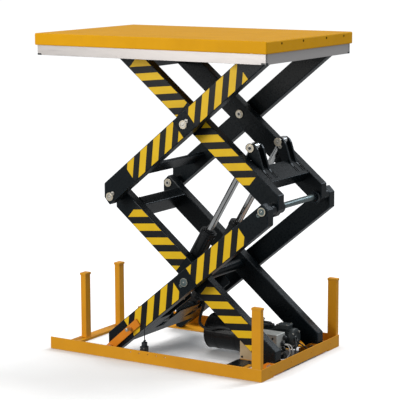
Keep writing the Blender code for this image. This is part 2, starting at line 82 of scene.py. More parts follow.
def node(tree, kind, **settings):
    made = tree.nodes.new(kind)
    for key, value in settings.items():
        if key in made.inputs:
            made.inputs[key].default_value = value
        else:
            setattr(made, key, value)
    return made


def noise(tree, scale, detail=4.0, rough=0.55, stretch=None, low=0.35, high=0.65):
    """Noise in the piece's own space, spread to 0..1 between two levels."""
    coords = node(tree, "ShaderNodeTexCoord")
    source = coords.outputs["Object"]
    if stretch:
        mapping = node(tree, "ShaderNodeMapping")
        mapping.inputs["Scale"].default_value = stretch
        tree.links.new(source, mapping.inputs["Vector"])
        source = mapping.outputs["Vector"]
    made = node(tree, "ShaderNodeTexNoise", Scale=scale, Detail=detail, Roughness=rough)
    tree.links.new(source, made.inputs["Vector"])
    ramp = node(tree, "ShaderNodeMapRange")
    ramp.inputs["From Min"].default_value = low
    ramp.inputs["From Max"].default_value = high
    tree.links.new(made.outputs["Fac"], ramp.inputs["Value"])
    return ramp.outputs["Result"]


def span(tree, value, low, high):
    """Maps 0..1 to a range."""
    made = node(tree, "ShaderNodeMapRange")
    made.inputs["To Min"].default_value = low
    made.inputs["To Max"].default_value = high
    tree.links.new(value, made.inputs["Value"])
    return made.outputs["Result"]


def blend_colours(tree, factor, first, second):
    made = node(tree, "ShaderNodeMix", data_type="RGBA")
    tree.links.new(factor, made.inputs["Factor"])
    for socket, colour in ((made.inputs["A"], first), (made.inputs["B"], second)):
        if isinstance(colour, tuple):
            socket.default_value = (*colour, 1)
        else:
            tree.links.new(colour, socket)
    return made.outputs["Result"]


def painted_edge_highlight(tree, reach=0.0016):
    """A painted highlight where a surface turns an edge, broken up by a fine noise."""
    rounded = node(tree, "ShaderNodeBevel", samples=4, Radius=reach)
    shape = node(tree, "ShaderNodeNewGeometry")
    facing = node(tree, "ShaderNodeVectorMath", operation="DOT_PRODUCT")
    tree.links.new(rounded.outputs["Normal"], facing.inputs[0])
    tree.links.new(shape.outputs["Normal"], facing.inputs[1])
    ramp = node(tree, "ShaderNodeMapRange")
    ramp.inputs["From Min"].default_value = 0.995
    ramp.inputs["From Max"].default_value = 0.80
    tree.links.new(facing.outputs["Value"], ramp.inputs["Value"])
    patch = noise(tree, 45, 6, 0.65, None, 0.36, 0.60)
    both = node(tree, "ShaderNodeMath", operation="MULTIPLY")
    tree.links.new(ramp.outputs["Result"], both.inputs[0])
    tree.links.new(patch, both.inputs[1])
    return both.outputs["Value"]


def surface(name, colour, shade, rough, metallic=0.0, bump=0.02, bump_scale=420, edge_highlight=None,
            coat=0.0, grain=None, dust=None, patch_scale=7, specular=0.5, sheen=0.0):
    """A finish with patches of a second shade, uneven gloss, a fine relief, dust, and painted highlights
    along the edges.
    """
    made, tree, shader = new_material(name)
    patch = noise(tree, patch_scale, 5, 0.6, grain)
    base = blend_colours(tree, patch, colour, shade)
    fine = noise(tree, 90, 3, 0.5, grain, 0.3, 0.7)
    gloss = span(tree, fine, rough[0], rough[1])
    if dust:
        where = noise(tree, 16, 8, 0.7, None, 0.50, 0.80)
        amount = span(tree, where, 0.0, dust[3])
        base = blend_colours(tree, amount, base, tuple(dust[:3]))
    # A lighter colour along the edges: a painted highlight.
    if edge_highlight:
        highlit_edges = painted_edge_highlight(tree)
        base = blend_colours(tree, highlit_edges, base, edge_highlight)
    tree.links.new(base, shader.inputs["Base Color"])
    tree.links.new(gloss, shader.inputs["Roughness"])
    shader.inputs["Metallic"].default_value = metallic
    shader.inputs["Specular IOR Level"].default_value = specular
    shader.inputs["Coat Weight"].default_value = coat
    shader.inputs["Coat Roughness"].default_value = 0.12
    shader.inputs["Sheen Weight"].default_value = sheen
    relief = node(tree, "ShaderNodeBump", Strength=bump, Distance=0.001)
    height = noise(tree, bump_scale, 2, 0.5, grain, 0.2, 0.8)
    tree.links.new(height, relief.inputs["Height"])
    tree.links.new(relief.outputs["Normal"], shader.inputs["Normal"])
    return made


# The edge colour given with each finish is a painted highlight along its edges.
YELLOW = surface("yellow_powder_coat", (0.77, 0.335, 0.008), (0.71, 0.30, 0.007), (0.36, 0.48),
                 bump=0.10, bump_scale=330, edge_highlight=(0.86, 0.52, 0.10), dust=(0.46, 0.22, 0.03, 0.14),
                 specular=0.28)
DECK_YELLOW = surface("platform_powder_coat", (0.78, 0.375, 0.006), (0.73, 0.345, 0.005), (0.36, 0.48),
                      bump=0.12, bump_scale=300, edge_highlight=(0.90, 0.58, 0.12), dust=(0.56, 0.29, 0.03, 0.12),
                      specular=0.05)
BLACK = surface("black_gloss_enamel", (0.0030, 0.0055, 0.0072), (0.0045, 0.0075, 0.0095), (0.24, 0.34),
                bump=0.05, bump_scale=260, edge_highlight=(0.16, 0.25, 0.33), dust=(0.010, 0.020, 0.022, 0.10),
                specular=0.20)
BARREL_BLACK = surface("barrel_enamel", (0.0045, 0.0055, 0.0065), (0.008, 0.009, 0.010), (0.20, 0.32),
                       bump=0.05, bump_scale=240, edge_highlight=(0.08, 0.09, 0.10), dust=(0.02, 0.02, 0.02, 0.12),
                       specular=0.40)
TANK_BLACK = surface("tank_enamel", (0.0028, 0.0030, 0.0036), (0.0050, 0.0050, 0.0058), (0.26, 0.40),
                     bump=0.06, bump_scale=220, edge_highlight=(0.06, 0.06, 0.06), dust=(0.02, 0.019, 0.018, 0.12),
                     specular=0.25)
ORANGE = surface("orange_enamel", (0.78, 0.25, 0.010), (0.70, 0.21, 0.008), (0.34, 0.46),
                 bump=0.10, bump_scale=320, edge_highlight=(0.90, 0.48, 0.12), dust=(0.50, 0.20, 0.04, 0.14),
                 specular=0.30)
ZINC = surface("bright_zinc", (0.60, 0.575, 0.52), (0.50, 0.475, 0.42), (0.26, 0.42), metallic=0.9,
               bump=0.06, bump_scale=600, patch_scale=38, edge_highlight=(0.78, 0.76, 0.72))
BOSS = surface("yellow_passivated", (0.60, 0.54, 0.42), (0.49, 0.43, 0.32), (0.32, 0.48), metallic=0.55,
               bump=0.05, bump_scale=500, patch_scale=30, edge_highlight=(0.74, 0.70, 0.60))
SHAFT = surface("ground_shaft", (0.17, 0.21, 0.21), (0.12, 0.16, 0.16), (0.26, 0.40), metallic=0.75,
                bump=0.05, bump_scale=500, patch_scale=26, grain=(1.0, 0.15, 1.0))
CHROME = surface("hard_chrome", (0.78, 0.78, 0.77), (0.70, 0.70, 0.69), (0.07, 0.16), metallic=1.0,
                 bump=0.02, bump_scale=800, patch_scale=30)
ALUMINIUM = surface("anodised_extrusion", (0.53, 0.495, 0.475), (0.49, 0.46, 0.445), (0.30, 0.42),
                    metallic=0.45,
                    bump=0.05, bump_scale=500, patch_scale=6, grain=(0.10, 0.10, 1.0),
                    edge_highlight=(0.80, 0.78, 0.77))
CAST = surface("motor_enamel", (0.020, 0.027, 0.030), (0.032, 0.040, 0.043), (0.34, 0.52),
               bump=0.30, bump_scale=380, patch_scale=24, edge_highlight=(0.16, 0.18, 0.19),
               dust=(0.07, 0.07, 0.065, 0.15))
MANIFOLD = surface("manifold_aluminium", (0.60, 0.61, 0.58), (0.50, 0.51, 0.49), (0.36, 0.52),
                   metallic=0.30,
                   bump=0.14, bump_scale=420, patch_scale=22, edge_highlight=(0.66, 0.66, 0.64),
                   dust=(0.30, 0.28, 0.24, 0.2))
TAN = surface("tan_plate", (0.52, 0.40, 0.24), (0.44, 0.33, 0.19), (0.40, 0.58),
              bump=0.08, bump_scale=300, patch_scale=22, edge_highlight=(0.66, 0.56, 0.38))
RUBBER = surface("hose_rubber", (0.007, 0.0085, 0.010), (0.012, 0.014, 0.016), (0.42, 0.58),
                 bump=0.25, bump_scale=900, patch_scale=40, dust=(0.03, 0.03, 0.028, 0.2), specular=0.4)
NYLON = surface("black_nylon", (0.008, 0.010, 0.012), (0.014, 0.017, 0.020), (0.34, 0.50),
                bump=0.12, bump_scale=700, patch_scale=34, edge_highlight=(0.05, 0.06, 0.07))
ROLLER = surface("roller_steel", (0.17, 0.165, 0.155), (0.10, 0.10, 0.095), (0.30, 0.48), metallic=0.8,
                 bump=0.10, bump_scale=500, patch_scale=60, edge_highlight=(0.45, 0.44, 0.42))
CABLE = surface("white_cable", (0.78, 0.78, 0.76), (0.68, 0.67, 0.64), (0.42, 0.55),
                bump=0.10, bump_scale=900, patch_scale=50, dust=(0.50, 0.48, 0.44, 0.3))
TAPE_YELLOW = surface("tape_yellow", (0.84, 0.53, 0.008), (0.78, 0.48, 0.008), (0.30, 0.44),
                      bump=0.06, bump_scale=500, patch_scale=14, dust=(0.56, 0.36, 0.03, 0.18),
                      specular=0.25)
TAPE_BLACK = surface("tape_black", (0.0045, 0.0048, 0.0055), (0.0070, 0.0074, 0.0082), (0.34, 0.48),
                     bump=0.06, bump_scale=500, patch_scale=14, dust=(0.03, 0.03, 0.03, 0.15),
                     specular=0.22)


# Pieces ------------------------------------------------------------------------

def put(name, bm, looks, body, smooth=None):
    """The bmesh, in row-frame coordinates, as a piece that rides on a body."""
    mesh = bpy.data.meshes.new(name)
    bm.to_mesh(mesh)
    bm.free()
    obj = bpy.data.objects.new(name, mesh)
    for look in looks if isinstance(looks, (list, tuple)) else (looks,):
        mesh.materials.append(look)
    bpy.context.scene.collection.objects.link(obj)
    if smooth:
        mesh.shade_smooth()
        mesh.set_sharp_from_angle(angle=math.radians(smooth))
    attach(obj, body)
    return obj


def bevel_sharp(bm, width, segments=2, angle=40):
    sharp = [e for e in bm.edges if len(e.link_faces) == 2 and e.calc_face_angle(0) > math.radians(angle)]
    bmesh.ops.bevel(bm, geom=sharp, offset=width, segments=segments, affect="EDGES", profile=0.6)


def block(low, high, edge=0.0, segments=2):
    bm = bmesh.new()
    bmesh.ops.create_cube(bm, size=1)
    bmesh.ops.scale(bm, vec=[h - l for l, h in zip(low, high)], verts=bm.verts)
    bmesh.ops.translate(bm, vec=[(l + h) / 2 for l, h in zip(low, high)], verts=bm.verts)
    if edge:
        bevel_sharp(bm, edge, segments)
    return bm


AXES = {"x": Matrix.Rotation(math.pi / 2, 3, "Y"),
        "y": Matrix.Rotation(-math.pi / 2, 3, "X"),
        "z": Matrix.Identity(3)}


def circle(bm, place, turn, radius, along, sides):
    """One ring of vertices about an axis that leaves a place."""
    made = []
    for i in range(sides):
        a = 2 * math.pi * i / sides
        local = Vector((radius * math.cos(a), radius * math.sin(a), along))
        made.append(bm.verts.new(Vector(place) + turn @ local))
    return made


def skin(bm, rings):
    """Quads between each ring of vertices and the next."""
    for first, second in zip(rings, rings[1:]):
        for i in range(len(first)):
            j = (i + 1) % len(first)
            bm.faces.new((first[i], first[j], second[j], second[i]))


def cap_ends(bm, rings):
    bm.faces.new(reversed(rings[0]))
    bm.faces.new(rings[-1])


def lathe(profile, place, axis="z", sides=48):
    """A profile of (distance along the axis, radius) turned about it, starting at a place."""
    bm = bmesh.new()
    turn = axis if isinstance(axis, Matrix) else AXES[axis]
    rings = [circle(bm, place, turn, radius, along, sides) for along, radius in profile]
    skin(bm, rings)
    cap_ends(bm, rings)
    bmesh.ops.recalc_face_normals(bm, faces=bm.faces)
    return bm


def ring(place, axis, inner, outer, length, sides=48, edge=0.0008):
    """A washer or a sleeve: a hollow turned piece with eased edges, starting at a place."""
    bm = bmesh.new()
    turn = axis if isinstance(axis, Matrix) else AXES[axis]
    section = [(0, inner), (0, outer - edge), (edge, outer),
               (length - edge, outer), (length, outer - edge), (length, inner)]
    rings = [circle(bm, place, turn, radius, along, sides) for along, radius in section]
    skin(bm, rings + rings[:1])
    bmesh.ops.recalc_face_normals(bm, faces=bm.faces)
    return bm


def prism(outline, y0, y1, edge=0.0):
    """An outline of (x, z) points extruded through a Y range."""
    bm = bmesh.new()
    low = [bm.verts.new((x, y0, z)) for x, z in outline]
    high = [bm.verts.new((x, y1, z)) for x, z in outline]
    bm.faces.new(low)
    bm.faces.new(reversed(high))
    count = len(outline)
    for i in range(count):
        j = (i + 1) % count
        bm.faces.new((low[j], low[i], high[i], high[j]))
    bmesh.ops.recalc_face_normals(bm, faces=bm.faces)
    if edge:
        bevel_sharp(bm, edge)
    return bm


def sweep(points, radius, sides=16):
    """A round tube along a list of points, with parallel-carried rings."""
    bm = bmesh.new()
    path = [Vector(p) for p in points]
    tangents = []
    for i in range(len(path)):
        ahead, behind = path[min(i + 1, len(path) - 1)], path[max(i - 1, 0)]
        tangents.append((ahead - behind).normalized())
    side = tangents[0].orthogonal().normalized()
    rings = []
    for place, tangent in zip(path, tangents):
        side = (side - tangent * side.dot(tangent)).normalized()
        other = tangent.cross(side)
        ring_verts = []
        for i in range(sides):
            a = 2 * math.pi * i / sides
            ring_verts.append(bm.verts.new(place + radius * (math.cos(a) * side + math.sin(a) * other)))
        rings.append(ring_verts)
    skin(bm, rings)
    cap_ends(bm, rings)
    bmesh.ops.recalc_face_normals(bm, faces=bm.faces)
    return bm


def smooth_path(points, steps=10):
    """A Catmull-Rom path through the points."""
    path = []
    closed = [points[0], *points, points[-1]]
    for a, b, c, d in zip(closed, closed[1:], closed[2:], closed[3:]):
        for step in range(steps):
            t = step / steps
            weights = ((-t + 2 * t * t - t**3) / 2, (2 - 5 * t * t + 3 * t**3) / 2,
                       (t + 4 * t * t - 3 * t**3) / 2, (-t * t + t**3) / 2)
            path.append([sum(w * p[k] for w, p in zip(weights, (a, b, c, d))) for k in range(3)])
    path.append(list(points[-1]))
    return path


# Finishes of the CAD nodes ------------------------------------------------------

LOOKS = {"arm_": BLACK, "crossmember": BLACK, "rod_lug_frame": BLACK, "cylinder_foot_frame": BLACK,
         "base_": YELLOW, "post_": YELLOW, "hinge_clevis": ORANGE, "hinge_pin": ZINC,
         "oil_tank": TANK_BLACK,
         "valve_block": MANIFOLD, "pump_motor": CAST, "tank_breather": NYLON, "limit_switch": NYLON,
         "switch_whisker": NYLON, "hydraulic_hose": RUBBER, "control_leads": CABLE, "shaft_": SHAFT,
         "pin_": ZINC, "rod_pin": ZINC, "cylinder_barrel": BARREL_BLACK, "cylinder_rod": CHROME,
         "roller_": ROLLER, "service_prop": ORANGE, "platform": DECK_YELLOW, "platform_track": YELLOW,
         "trip_bar": ALUMINIUM}
EDGES = {"platform": 0.0, "platform_track": 0.0012, "base_": 0.0012, "post_": 0.0022,
         "hinge_clevis": 0.0012,
         "crossmember": 0.0, "rod_lug_frame": 0.0018, "cylinder_foot_frame": 0.0015, "pin_": 0.0009,
         "shaft_": 0.0009, "rod_pin": 0.0009, "hinge_pin": 0.0009, "service_prop": 0.0012,
         "limit_switch": 0.002,
         "cylinder_barrel": 0.0016, "cylinder_rod": 0.0008, "trip_bar": 0.0015}


def best(table, name):
    """The entry whose key is the longest start of the name."""
    keys = [key for key in table if name.startswith(key)]
    return table[max(keys, key=len)] if keys else None


for name, obj in NODES.items():
    look = best(LOOKS, name)
    obj.data.materials.clear()
    obj.data.materials.append(look)
    for polygon in obj.data.polygons:
        polygon.material_index = 0
    edge = best(EDGES, name)
    if edge:
        weld = obj.modifiers.new("weld", "WELD")
        weld.merge_threshold = 0.00005
        bevel = obj.modifiers.new("eased edge", "BEVEL")
        bevel.width = edge
        bevel.segments = 2
        bevel.limit_method = "ANGLE"
        bevel.angle_limit = math.radians(50)
        bevel.harden_normals = False


# Hazard tape -------------------------------------------------------------------

TAPE_HALF, TAPE_THICK = 0.0465, 0.0004
BAND, PITCH = 0.0505, 0.0978
LOWER_OUTER, UPPER_OUTER = "lower_outer", "upper_outer"
LOWER_INNER, UPPER_INNER = "lower_inner", "upper_inner"
# Each run: the arm, its centre, whether it rises, both ends along the arm,
# and where one yellow band starts on the middle line
TAPE_RUNS = (
    (LOWER_OUTER, LOWER_CENTRE, True, -0.417, -0.053, -0.280),
    (LOWER_OUTER, LOWER_CENTRE, True, 0.052, 0.417, 0.090),
    (UPPER_OUTER, UPPER_CENTRE, True, -0.4005, -0.040, -0.326),
    (UPPER_OUTER, UPPER_CENTRE, True, 0.052, 0.416, 0.128),
    (LOWER_INNER, LOWER_CENTRE, False, -0.4675, -0.100, -0.284),
    (LOWER_INNER, LOWER_CENTRE, False, 0.0715, 0.444, 0.154),
    (UPPER_INNER, UPPER_CENTRE, False, -0.4415, -0.0895, -0.254),
    (UPPER_INNER, UPPER_CENTRE, False, 0.046, 0.411, 0.184),
)


def clip_band(outline, limit, keep_above):
    """What is left of an outline of (s, v) on one side of the line s - v = limit."""
    kept = []
    sign = -1 if keep_above else 1
    for (s0, v0), (s1, v1) in zip(outline, outline[1:] + outline[:1]):
        a, b = sign * (s0 - v0 - limit), sign * (s1 - v1 - limit)
        if a <= 0:
            kept.append((s0, v0))
        if a * b < 0:
            t = a / (a - b)
            kept.append((s0 + t * (s1 - s0), v0 + t * (v1 - v0)))
    return kept


def tape(name, body, centre, rises, start, end, phase, side, face_y):
    """One run of striped tape laid on an arm's outer face, cut square at both ends."""
    a = TILT if rises else -TILT
    bm = bmesh.new()
    back, front = side * face_y, side * (face_y + TAPE_THICK)
    strip = [(start, -TAPE_HALF), (end, -TAPE_HALF), (end, TAPE_HALF), (start, TAPE_HALF)]
    first = phase - PITCH * (math.floor((phase - start) / PITCH) + 2)
    count = int((end - start) / PITCH) + 4
    for k in range(count):
        for look, low, high in ((0, first + k * PITCH, first + k * PITCH + BAND),
                                (1, first + k * PITCH + BAND, first + (k + 1) * PITCH)):
            panel = clip_band(clip_band(strip, high, False), low, True)
            if len(panel) < 3:
                continue
            places = []
            for s, v in panel:
                places.append((centre[0] + s * math.cos(a) - v * math.sin(a),
                               centre[1] + s * math.sin(a) + v * math.cos(a)))
            outer = [bm.verts.new((x, front, z)) for x, z in places]
            bm.faces.new(outer).material_index = look
    bmesh.ops.remove_doubles(bm, verts=bm.verts, dist=1e-5)
    rim = bmesh.ops.extrude_edge_only(bm, edges=[e for e in bm.edges if e.is_boundary])
    for vert in [g for g in rim["geom"] if isinstance(g, bmesh.types.BMVert)]:
        vert.co.y = back
    bmesh.ops.recalc_face_normals(bm, faces=bm.faces)
    return put(name, bm, (TAPE_YELLOW, TAPE_BLACK), body)


for word, side in SIDES:
    for index, (body, centre, rises, start, end, phase) in enumerate(TAPE_RUNS):
        face = OUTER_FACE if rises else INNER_FACE
        tape(f"tape_{body}_{'ab'[index % 2]}_{word}", body, centre, rises, start, end, phase, side, face)


# Trip frame --------------------------------------------------------------------

TRIP_LOW = DECK_Z - 0.106
# Section of the extrusion: (depth in from the outer face, height above the lower edge)
TRIP_SECTION = [(0.0012, 0.0), (0.0, 0.0012), (0.0, 0.0520), (0.0022, 0.0532), (0.0022, 0.0556),
                (0.0, 0.0568),
                (0.0, 0.0688), (0.0012, 0.0700), (0.0118, 0.0700), (0.0130, 0.0688), (0.0130, 0.0600),
                (0.0080, 0.0585), (0.0080, 0.0115), (0.0130, 0.0100), (0.0130, 0.0012), (0.0118, 0.0)]
TRIP_HALF_X, TRIP_HALF_Y = 0.6395, 0.4015


def extrusion(name, bar, ends):
    """The trip section between two rings of places, in the stead of one plain bar."""
    bm = bmesh.new()
    rings = [[bm.verts.new(place) for place in end] for end in ends]
    for i in range(len(TRIP_SECTION)):
        j = (i + 1) % len(TRIP_SECTION)
        bm.faces.new((rings[0][i], rings[0][j], rings[1][j], rings[1][i]))
    bm.faces.new(rings[0])
    bm.faces.new(reversed(rings[1]))
    bmesh.ops.recalc_face_normals(bm, faces=bm.faces)
    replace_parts(put(name, bm, ALUMINIUM, "trip_frame"), bar)


for side_word, side in SIDES:
    ends = [[(x, side * (0.4150 - d), TRIP_LOW + h) for d, h in TRIP_SECTION]
            for x in (-TRIP_HALF_X, TRIP_HALF_X)]
    extrusion(f"trip_profile_{side_word}", f"trip_bar_{side_word}", ends)
    end_word = "left" if side < 0 else "right"
    ends = [[(side * (0.640 - d), y, TRIP_LOW + h) for d, h in TRIP_SECTION]
            for y in (-TRIP_HALF_Y, TRIP_HALF_Y)]
    extrusion(f"trip_profile_{end_word}", f"trip_bar_{end_word}", ends)
for x_word, x_side in (("left", -1), ("right", 1)):
    for y_word, y_side in SIDES:
        x0, x1 = sorted((x_side * 0.6150, x_side * 0.6402))
        y0, y1 = sorted((y_side * 0.3900, y_side * 0.4152))
        cap = block((x0, y0, TRIP_LOW - 0.0002), (x1, y1, TRIP_LOW + 0.0100), 0.002)
        put(f"trip_corner_{x_word}_{y_word}", cap, NYLON, "trip_frame")


# Pins, collars and bosses ---------------------------------------------------------

def spacer(word, side, joint, x, z, bore, body):
    """A round spacer on a pin between an inner and an outer arm."""
    low = min(side * 0.2407, side * 0.2785)
    put(f"spacer_{joint}_{word}", ring((x, low, z), "y", bore + 0.0006, 0.029, 0.0378), BLACK, body,
        35)


for word, side in SIDES:
    spacer(word, side, "lower_centre", *LOWER_CENTRE, 0.0175, "lower_outer")
    spacer(word, side, "mid_right", HINGE_X, MID_Z, 0.0150, "lower_outer")
    spacer(word, side, "mid_left", ROLLER_X, MID_Z, 0.0125, "upper_outer")
    spacer(word, side, "upper_centre", *UPPER_CENTRE, 0.0125, "upper_outer")
    low = min(side * 0.1640, side * 0.1845)
    boss = ring((HINGE_X, low, MID_Z), "y", 0.0156, 0.0300, 0.0205)
    put(f"boss_mid_right_{word}", boss, BLACK, "upper_inner", 35)
    low = min(side * 0.1560, side * 0.1638)
    collar = ring((HINGE_X, low, MID_Z), "y", 0.0156, 0.0215, 0.0076)
    put(f"collar_mid_right_{word}", collar, BLACK, "upper_inner", 35)

tube = ring((LOWER_CENTRE[0], -0.1840, LOWER_CENTRE[1]), "y", 0.0181, 0.0270, 0.3680, edge=0.0015)
put("centre_tube", tube, BLACK, "lower_outer", 35)

# Keeper: name, place, body, the Y face it lies on, its tail's angle in degrees, and the pin's radius
KEEPERS = (
    ("upper_centre_near", UPPER_CENTRE, "upper_outer", -0.3395, 45, 0.0125),
    ("mid_left_near", (ROLLER_X, MID_Z), "upper_outer", -0.3395, 45, 0.0125),
    ("mid_right_near", (HINGE_X, MID_Z), "lower_outer", -0.3395, 225, 0.0150),
    ("lower_centre_near", LOWER_CENTRE, "lower_outer", -0.3395, 225, 0.0175),
    ("rod_far", ROD_PIN, "upper_inner", 0.0930, -60, 0.0125),
)
for word, (x, z), body, face, tail, radius in KEEPERS:
    dish = ring((x, face - 0.0013, z), "y", radius + 0.0012, 0.0200, 0.0012, edge=0.0004)
    put(f"keeper_dish_{word}", dish, BOSS, body, 30)
    a = math.radians(tail)
    sx, sz = x + 0.025 * math.cos(a), z + 0.025 * math.sin(a)
    screw = lathe([(0, 0.0), (0.0, 0.0066), (0.0009, 0.0066)], (sx, face - 0.0010, sz), "y", 24)
    put(f"keeper_washer_{word}", screw, ZINC, body, 30)
    # A flat black hex on the screw stands for its socket: painted shade in the recess.
    painted_socket_shade = lathe([(0, 0.0030), (0.0004, 0.0030)], (sx, face - 0.0045, sz), "y", 6)
    put(f"keeper_socket_shade_{word}", painted_socket_shade, NYLON, body)
    nipple_y = face - 0.0015 if word == "rod_far" else -0.3410
    nipple = lathe([(-0.0050, 0.0012), (-0.0046, 0.0019), (-0.0034, 0.0019), (-0.0028, 0.0013),
                    (-0.0022, 0.0013),
                    (-0.0016, 0.0032), (0.0001, 0.0032)], (x, nipple_y, z), "y", 18)
    put(f"grease_nipple_{word}", nipple, ZINC, body, 30)
for word, (x, z), body, face in (("upper_centre_far", UPPER_CENTRE, "upper_inner", 0.1795),
                                 ("mid_left_far", (ROLLER_X, MID_Z), "lower_inner", 0.1795),
                                 ("rod_near", ROD_PIN, "upper_inner", -0.1750)):
    dish = ring((x, face - 0.0012, z), "y", 0.0136, 0.0205, 0.0011, edge=0.0004)
    put(f"boss_ring_{word}", dish, BOSS, body, 30)
    plug = lathe([(-0.0016, 0.0034), (-0.0016, 0.0060), (-0.0002, 0.0068)], (x, face - 0.0046, z), "y", 24)
    put(f"boss_plug_{word}", plug, NYLON, body, 30)

# Weld beads: a rippled half-round bead between two points ------------------------

def weld_bead(name, start, end, radius, body, look=BLACK):
    start, end = Vector(start), Vector(end)
    length = (end - start).length
    count = max(8, int(length / (radius * 1.1)))
    rippled = []
    for i in range(count + 1):
        rippled.append(start.lerp(end, i / count))
    bm = sweep(rippled, radius, 10)
    for index, vert in enumerate(bm.verts):
        step = index // 10
        centre = rippled[min(step, count)]
        scale = 1.0 if step % 2 else 0.82
        vert.co = centre + (vert.co - centre) * scale
    return put(name, bm, look, body, 60)


def arm_point(centre, rises, s, v, y):
    a = TILT if rises else -TILT
    return (centre[0] + s * math.cos(a) - v * math.sin(a), y, centre[1] + s * math.sin(a) + v * math.cos(a))


LUG_FACES = (-0.1700, -0.1550, -0.1150, -0.1000, 0.1000, 0.1150, 0.1550, 0.1700)
for i, y in enumerate(LUG_FACES):
    weld_bead(f"weld_lug_{i}", arm_point(UPPER_CENTRE, False, 0.372, 0.0465, y),
              arm_point(UPPER_CENTRE, False, 0.452, 0.0465, y), 0.0026, "upper_inner")
for side_word, side in SIDES:
    y = side * 0.1825
    weld_bead(f"weld_lug_frame_{side_word}", arm_point(UPPER_CENTRE, False, 0.372, 0.0465, y),
              arm_point(UPPER_CENTRE, False, 0.466, 0.0465, y), 0.0026, "upper_inner")
    weld_bead(f"weld_cross_lower_{side_word}", arm_point(LOWER_CENTRE, False, -0.506, 0.051, y),
              arm_point(LOWER_CENTRE, False, -0.456, 0.051, y), 0.0026, "lower_inner")
    weld_bead(f"weld_cross_upper_{side_word}", arm_point(UPPER_CENTRE, False, -0.470, 0.026, y),
              arm_point(UPPER_CENTRE, False, -0.420, 0.026, y), 0.0024, "upper_inner")

# Cylinder foot frame: side webs under the arms, and their bolts -------------------

web = [(-0.436, -0.0475), (-0.115, -0.0475), (-0.105, -0.036), (-0.105, 0.010), (-0.120, 0.026),
       (-0.150, 0.034),
       (-0.200, 0.034), (-0.400, -0.020), (-0.436, -0.030)]
for side_word, side in SIDES:
    low, high = sorted((side * 0.1755, side * 0.1840))
    points = [arm_point(LOWER_CENTRE, True, s, v, 0)[::2] for s, v in web]
    put(f"foot_web_{side_word}", prism(points, low, high, 0.0012), BLACK, "lower_outer")
    for k, (s, v) in enumerate(((-0.385, -0.036), (-0.150, -0.030))):
        x, _, z = arm_point(LOWER_CENTRE, True, s, v, 0)
        head = low - 0.0048 if side < 0 else high + 0.0002
        bolt = lathe([(0, 0.0075), (0.0036, 0.0075), (0.0046, 0.0066)] if side > 0 else
                     [(0, 0.0066), (0.0010, 0.0075), (0.0046, 0.0075)], (x, head, z), "y", 6)
        put(f"web_bolt_{k}_{side_word}", bolt, ZINC, "lower_outer")

# Lift cylinders: gland nut, gland face, wiper and barrel bands ------------------------

CYL_AXIS = Matrix.Rotation(math.pi / 2 - SLOPE, 3, "Y")


def along(s, y):
    return (FOOT[0] + s * math.cos(SLOPE), y, FOOT[1] + s * math.sin(SLOPE))


for side_word, side in SIDES:
    y = side * CYLINDER_Y
    nut = lathe([(0, 0.0376), (0.0010, 0.0405), (0.0080, 0.0405), (0.0088, 0.0392), (0.0104, 0.0392),
                 (0.0112, 0.0405),
                 (0.0262, 0.0405), (0.0276, 0.0390), (0.0276, 0.0376)], along(0.506, y), CYL_AXIS, 56)
    put(f"gland_nut_{side_word}", nut, BARREL_BLACK, f"barrel_{side_word}", 30)
    lip = ring(along(0.5352, y), CYL_AXIS, 0.0172, 0.0300, 0.0045, edge=0.0012)
    put(f"gland_face_{side_word}", lip, BARREL_BLACK, f"barrel_{side_word}", 30)
    wiper = ring(along(0.5398, y), CYL_AXIS, 0.0171, 0.0215, 0.0040, edge=0.0012)
    put(f"rod_wiper_{side_word}", wiper, RUBBER, f"barrel_{side_word}", 30)
    for k, s in enumerate((0.075, 0.115)):
        band = ring(along(s, y), CYL_AXIS, 0.0377, 0.0395, 0.006, edge=0.0012)
        put(f"barrel_band_{k}_{side_word}", band, BARREL_BLACK, f"barrel_{side_word}", 30)

# Hinge clevises: bolts through their feet ------------------------------------------

for side_word, side in SIDES:
    for k, x in enumerate((0.516, 0.532)):
        y = side * 0.2125
        head = lathe([(0, 0.0085), (0.0012, 0.0085), (0.0013, 0.0068), (0.0034, 0.0068), (0.0040, 0.0060)],
                     (x, y + (k - 0.5) * 0.036, 0.0041), "z", 6)
        put(f"clevis_bolt_{k}_{side_word}", head, ZINC, "base")

# Power unit ------------------------------------------------------------------------

TANK_Z = 0.103
for k, x in enumerate((0.1035, 0.3085)):
    seam = ring((x, 0, TANK_Z), "x", 0.0850, 0.0872, 0.0070, 72, 0.0016)
    put(f"tank_seam_{k}", seam, TANK_BLACK, "base", 30)
for k, x in enumerate((0.150, 0.262)):
    band = ring((x, 0, TANK_Z), "x", 0.0851, 0.0864, 0.016, 72, 0.0005)
    put(f"tank_strap_{k}", band, TANK_BLACK, "base", 30)
cap = lathe([(0, 0.0165), (0.006, 0.0165), (0.0065, 0.0150), (0.016, 0.0150), (0.0185, 0.0130),
             (0.0190, 0.0100)],
            (0.140, 0, TANK_Z + 0.0845), "z", 40)
put("tank_filler", cap, NYLON, "base", 30)

